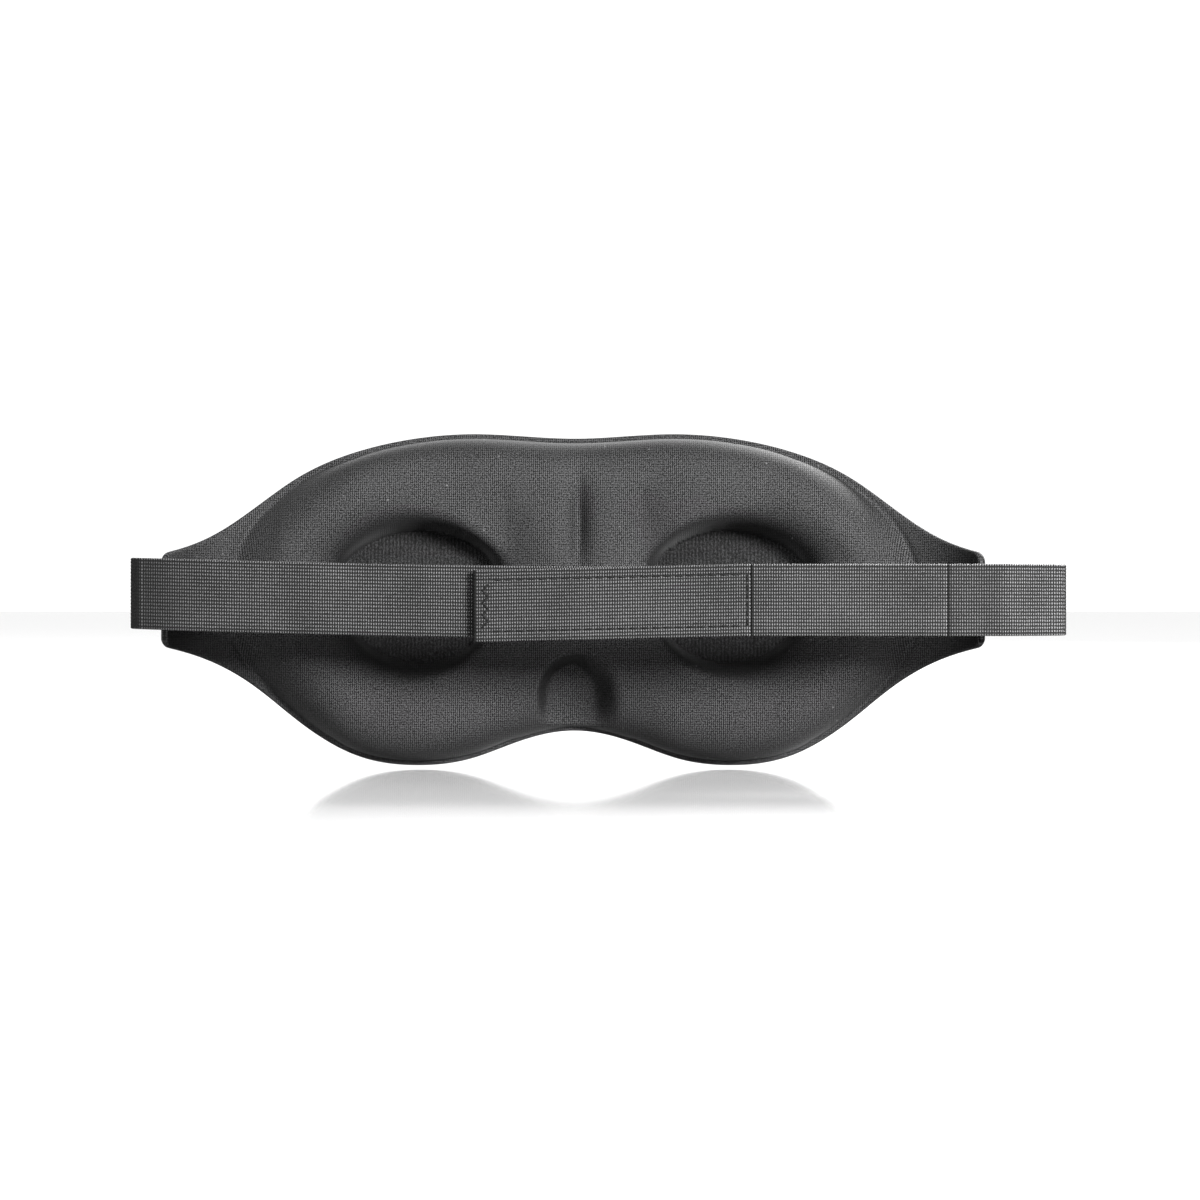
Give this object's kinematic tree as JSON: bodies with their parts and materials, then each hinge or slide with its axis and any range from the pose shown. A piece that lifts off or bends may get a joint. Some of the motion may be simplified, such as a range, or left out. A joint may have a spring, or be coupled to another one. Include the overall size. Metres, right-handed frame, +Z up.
{
  "type": "sleep eye mask",
  "caption": "Contoured sleep eye mask: moulded padded shell with two deep eye cavities, a nose recess, curled wings and an elastic strap closed by a hook tab.",
  "frame": {"origin": "the point where the crest of the face cushion meets the bridge of the nose, on the centre line at the height of the eyes", "axes": "+Z up as worn, +Y towards the wearer's face, +X towards the wearer's left; the outer face looks along -Y"},
  "size_m": [0.2634, 0.0574, 0.1003],
  "materials": {
    "cover_cloth": "fine knit, matt",
    "face_cloth": "fine brushed knit with a soft sheen",
    "lining_cloth": "coarse blackout cloth, matt",
    "panel_foam": "closed-cell foam",
    "cushion_foam": "slow-recovery foam",
    "elastic_webbing": "woven elastic with lengthwise ribs",
    "hook_tape": "moulded hooks on a woven tape",
    "thread": "twisted polyester thread"
  },
  "bodies": {
    "mask": {"front_cover": "cover_cloth", "front_foam": "panel_foam", "front_lining": "lining_cloth", "face_foam": "cushion_foam", "face_cover": "face_cloth", "left_strap_anchor": "elastic_webbing", "left_tip_stitching": "thread", "right_strap_anchor": "elastic_webbing", "right_tip_stitching": "thread"},
    "left_strap": {"left_strap_fold": "elastic_webbing", "left_strap": "elastic_webbing"},
    "right_strap": {"right_strap_fold": "elastic_webbing", "right_strap": "elastic_webbing", "right_elastic_span": "elastic_webbing"},
    "strap_end": {"tab_base": "elastic_webbing", "tab_line_stitching": "thread"},
    "hook_tab": {"hook_tab": "elastic_webbing", "hook_patch": "hook_tape", "tab_row_stitching": "thread", "tab_end_stitching": "thread"}
  },
  "joints": [
    {"name": "right_strap_swing", "type": "hinge", "parent": "mask", "child": "right_strap", "pos_m": [-0.13363, 0.02908, 0], "axis": [0, 0, 1], "range_deg": [0, 75], "deforming": ["right_strap_fold"]},
    {"name": "left_strap_swing", "type": "hinge", "parent": "mask", "child": "left_strap", "pos_m": [0.11969, 0.02754, 0], "axis": [0, 0, -1], "range_deg": [0, 30], "deforming": ["left_strap_fold"]},
    {"name": "strap_stretch", "type": "slide", "parent": "right_strap", "child": "strap_end", "axis": [1, 0, 0], "range_m": [0, 0.03], "stiffness_N_per_m": 100, "deforming": ["right_elastic_span"]},
    {"name": "tab_peel", "type": "hinge", "parent": "strap_end", "child": "hook_tab", "pos_m": [-0.0475, 0.0347, 0], "axis": [0, 0, 1], "range_deg": [0, 105]}
  ],
  "couplings": [
    {"joint": "left_strap_swing", "follows": "right_strap_swing", "ratio": 0.4}
  ]
}
